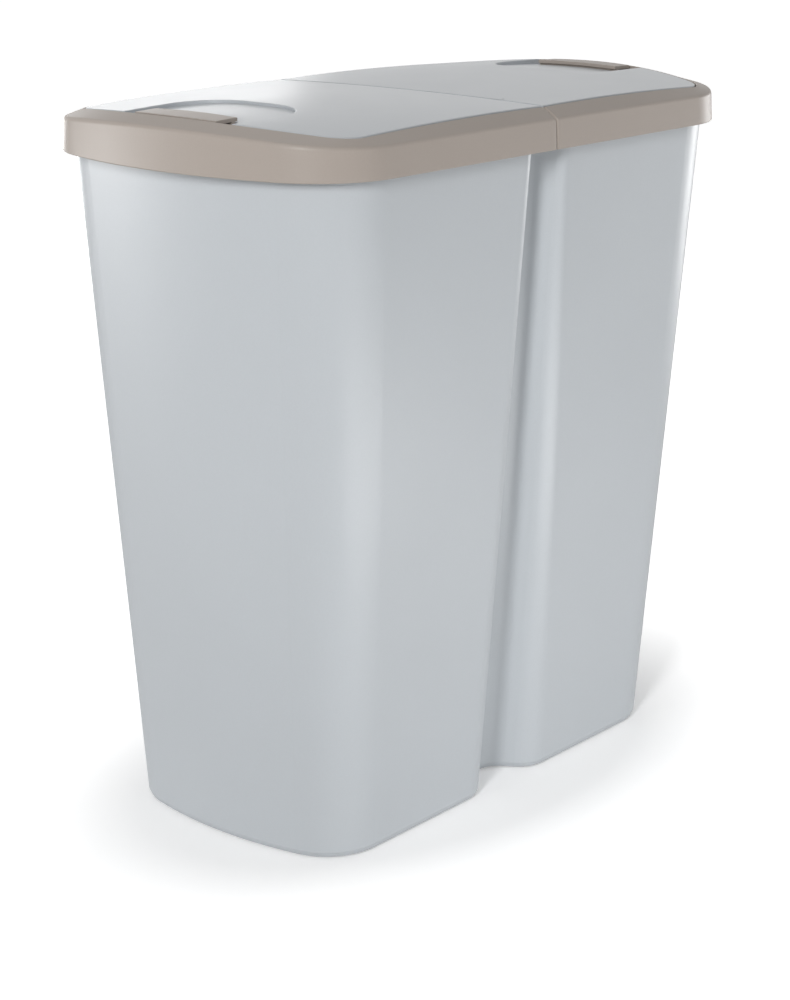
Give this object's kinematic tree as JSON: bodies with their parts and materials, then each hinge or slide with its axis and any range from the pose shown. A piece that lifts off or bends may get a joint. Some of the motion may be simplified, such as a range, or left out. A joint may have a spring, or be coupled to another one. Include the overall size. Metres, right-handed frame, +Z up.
{
  "type": "double recycling bin",
  "caption": "Tall double recycling bin: waisted tub with a divider, lift-off rim frame, and domed flaps hinged back to back, each with a press tab.",
  "frame": {"origin": "middle of the base on the floor", "axes": "+X along the long side towards the right-hand bin, +Y towards the back, +Z up"},
  "size_m": [0.49, 0.268, 0.5001],
  "materials": {
    "tub_grey": "fine satin moulded polypropylene, light bluish grey",
    "taupe": "fine satin moulded polypropylene, warm taupe",
    "flap_grey": "smooth satin moulded polypropylene, pale grey",
    "pin_steel": "plain drawn wire"
  },
  "bodies": {
    "tub_body": {"tub": "tub_grey"},
    "frame_body": {"rim_frame": "taupe", "right_hinge_pin_front": "pin_steel", "right_hinge_pin_back": "pin_steel", "left_hinge_pin_front": "pin_steel", "left_hinge_pin_back": "pin_steel"},
    "right_flap_body": {"right_flap": "flap_grey", "right_tab_pin": "pin_steel"},
    "right_tab_body": {"right_press_tab": "taupe"},
    "left_flap_body": {"left_flap": "flap_grey", "left_tab_pin": "pin_steel"},
    "left_tab_body": {"left_press_tab": "taupe"}
  },
  "joints": [
    {"name": "frame_lift", "type": "slide", "parent": "tub_body", "child": "frame_body", "axis": [0, 0, 1], "range_m": [0, 0.06]},
    {"name": "right_flap_hinge", "type": "hinge", "parent": "frame_body", "child": "right_flap_body", "pos_m": [0.014, 0, 0.4903], "axis": [0, -1, 0], "range_deg": [0, 85]},
    {"name": "right_tab_hinge", "type": "hinge", "parent": "right_flap_body", "child": "right_tab_body", "pos_m": [0.2095, 0, 0.4932], "axis": [0, 1, 0], "range_deg": [0, 12], "stiffness_Nm_per_rad": 0.3, "springref_deg": -2.86},
    {"name": "left_flap_hinge", "type": "hinge", "parent": "frame_body", "child": "left_flap_body", "pos_m": [-0.014, 0, 0.4903], "axis": [0, 1, 0], "range_deg": [0, 85]},
    {"name": "left_tab_hinge", "type": "hinge", "parent": "left_flap_body", "child": "left_tab_body", "pos_m": [-0.2095, 0, 0.4932], "axis": [0, -1, 0], "range_deg": [0, 12], "stiffness_Nm_per_rad": 0.3, "springref_deg": -2.86}
  ]
}
